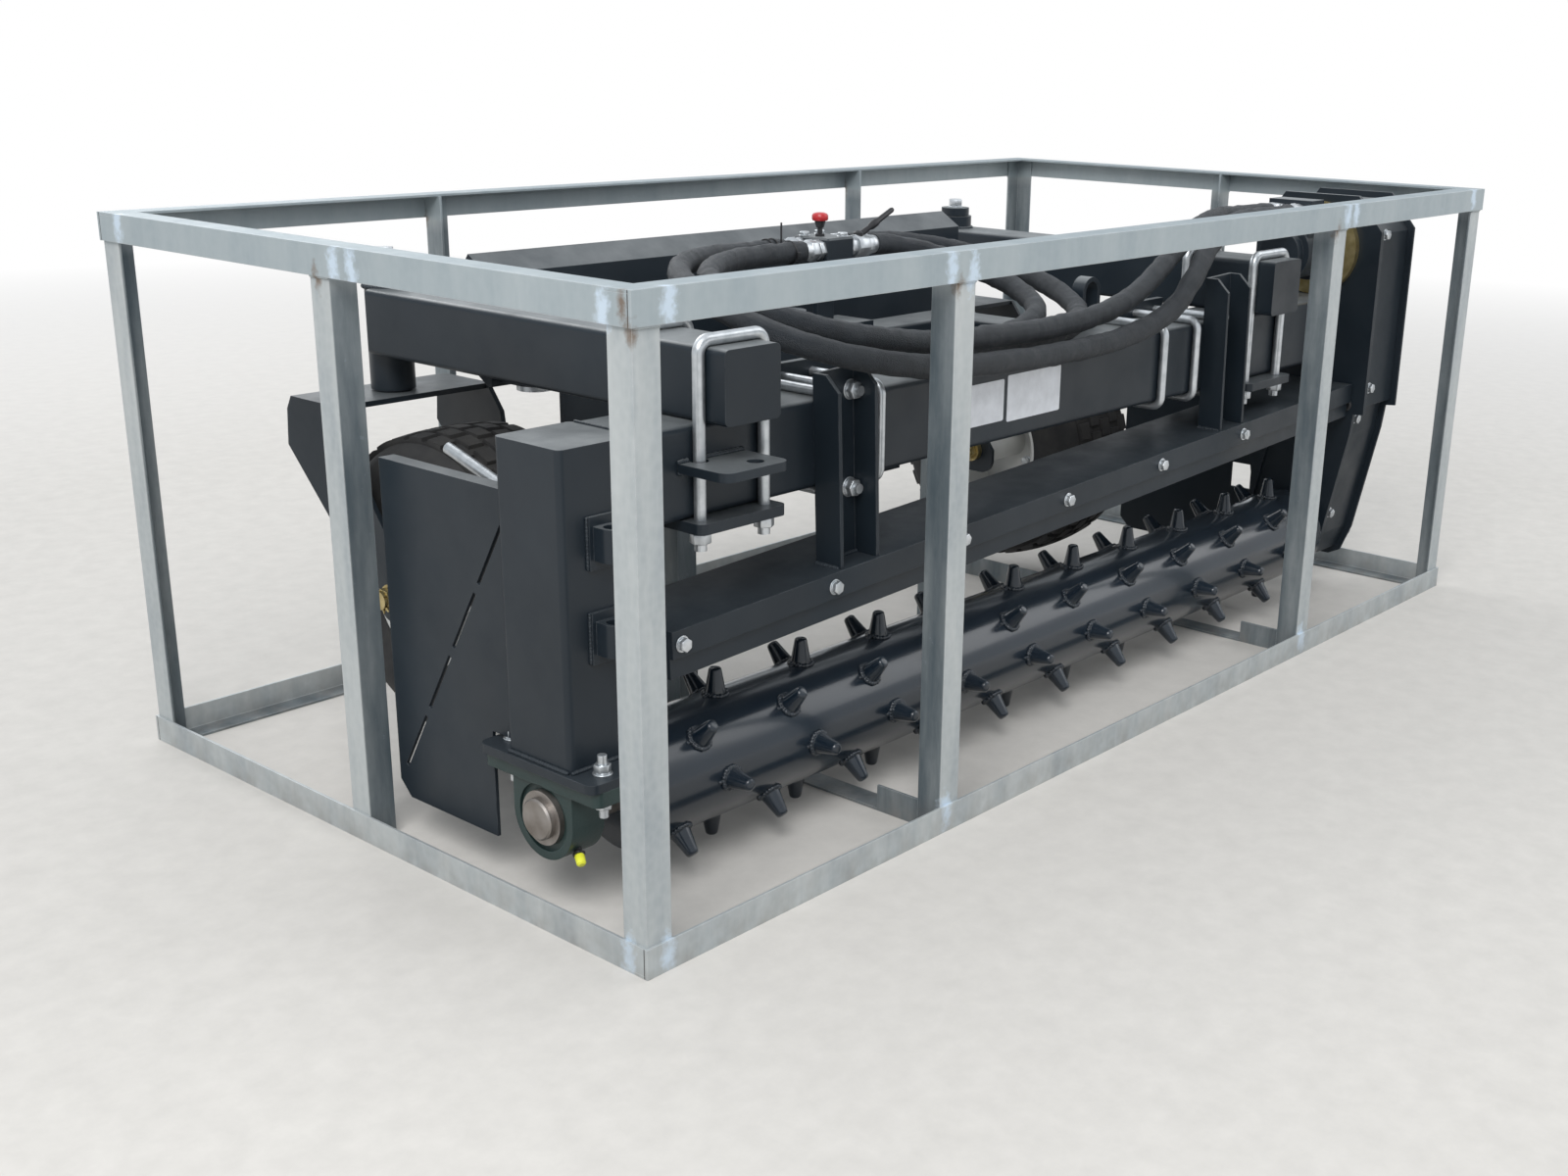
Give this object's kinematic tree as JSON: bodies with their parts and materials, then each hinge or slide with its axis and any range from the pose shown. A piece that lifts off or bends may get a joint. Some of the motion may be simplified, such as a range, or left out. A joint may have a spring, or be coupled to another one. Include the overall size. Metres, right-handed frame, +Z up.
{
  "type": "skid steer power rake",
  "caption": "Studded-drum power rake for a skid steer loader, with scraper barrier, swivelling gauge wheels and angling hitch, in its angle-steel shipping crate.",
  "frame": {"origin": "centre of the crate's footprint, on the floor", "axes": "+X along the drum towards the chain case, +Y towards the loader, +Z up"},
  "size_m": [2.23, 1.126, 0.81],
  "materials": {
    "galvanised": "matt zinc, spangled",
    "black_paint": "satin powder coat",
    "drum_paint": "gloss",
    "zinc_hardware": "bright zinc plate",
    "gold_zinc": "yellow zinc plate",
    "bearing_green": "enamel",
    "bare_steel": "turned",
    "tyre": "rubber",
    "white_rim": "gloss white",
    "hose": "matt",
    "rod_chrome": "polished"
  },
  "bodies": {
    "frame": {"arm_clamp_plates": "black_paint", "arm_ubolts": "zinc_hardware", "barrier_brackets": "black_paint", "barrier_plate": "black_paint", "barrier_strip": "black_paint", "bracket_tie_rods": "zinc_hardware", "caster_sleeves": "black_paint", "chain_case": "black_paint", "chain_case_cover": "black_paint", "column_loops": "black_paint", "crate_crossbars": "galvanised", "crate_end_rails": "galvanised", "crate_long_rails": "galvanised", "crate_posts": "galvanised", "crate_stands": "galvanised", "cylinder_base_pin": "zinc_hardware", "frame_ubolts": "zinc_hardware", "guide_hoop": "black_paint", "hitch_cross_tube": "black_paint", "hitch_frame_plates": "black_paint", "hitch_pivot_pin": "zinc_hardware", "hitch_side_tubes": "black_paint", "hitch_tongues": "black_paint", "hose_couplers": "zinc_hardware", "hose_drain": "hose", "hose_front": "hose", "hose_return": "hose", "hose_supply": "hose", "hydraulic_motor": "black_paint", "left_arm": "black_paint", "left_bearing_housing": "bearing_green", "left_bearing_plate": "black_paint", "left_column": "black_paint", "left_end_shield": "black_paint", "lug_plate": "black_paint", "main_beam": "black_paint", "motor_flange": "gold_zinc", "right_arm": "black_paint", "right_end_plate": "black_paint", "right_end_shield": "black_paint", "shield_stay_rod": "zinc_hardware", "valve_block": "black_paint", "valve_stand": "black_paint"},
    "drum": {"drum_tube": "drum_paint", "drum_studs": "drum_paint", "drum_shaft": "bare_steel", "bearing_insert": "bare_steel"},
    "left_caster": {"left_caster_fork": "black_paint", "left_axle": "gold_zinc"},
    "right_caster": {"right_caster_fork": "black_paint", "right_axle": "gold_zinc"},
    "left_wheel": {"left_tyre": "tyre", "left_wheel_rim": "white_rim"},
    "right_wheel": {"right_tyre": "tyre", "right_wheel_rim": "white_rim"},
    "hitch": {"quick_attach_plate": "black_paint", "quick_attach_feet": "black_paint"},
    "cylinder_barrel": {"angle_cylinder_barrel": "black_paint"},
    "cylinder_rod": {"angle_cylinder_rod": "rod_chrome", "cylinder_rod_pin": "zinc_hardware"}
  },
  "joints": [
    {"name": "drum_spin", "type": "hinge", "parent": "frame", "child": "drum", "pos_m": [-0.06, -0.3385, 0.1315], "axis": [1, 0, 0], "continuous": true},
    {"name": "left_caster_swivel", "type": "hinge", "parent": "frame", "child": "left_caster", "pos_m": [-0.812, 0.31, 0.64], "axis": [0, 0, 1], "range_deg": [-20, 20]},
    {"name": "left_wheel_spin", "type": "hinge", "parent": "left_caster", "child": "left_wheel", "pos_m": [-0.812, 0.137, 0.289], "axis": [1, 0, 0], "continuous": true},
    {"name": "right_caster_swivel", "type": "hinge", "parent": "frame", "child": "right_caster", "pos_m": [0.556, 0.31, 0.64], "axis": [0, 0, 1], "range_deg": [-20, 20]},
    {"name": "right_wheel_spin", "type": "hinge", "parent": "right_caster", "child": "right_wheel", "pos_m": [0.556, 0.137, 0.289], "axis": [1, 0, 0], "continuous": true},
    {"name": "hitch_angle", "type": "hinge", "parent": "frame", "child": "hitch", "pos_m": [-0.154, 0.11, 0.56], "axis": [0, 0, 1], "range_deg": [-10, 10]},
    {"name": "angle_cylinder_swing", "type": "hinge", "parent": "frame", "child": "cylinder_barrel", "pos_m": [-0.68, -0.235, 0.59], "axis": [0, 0, 1], "range_deg": [-1, 1]},
    {"name": "angle_cylinder_stroke", "type": "slide", "parent": "cylinder_barrel", "child": "cylinder_rod", "axis": [0, 1, 0], "range_m": [-0.092, 0.092]}
  ],
  "couplings": [
    {"joint": "angle_cylinder_swing", "follows": "hitch_angle", "ratio": 0.079},
    {"joint": "angle_cylinder_stroke", "follows": "hitch_angle", "m_per_rad": -0.5237}
  ]
}
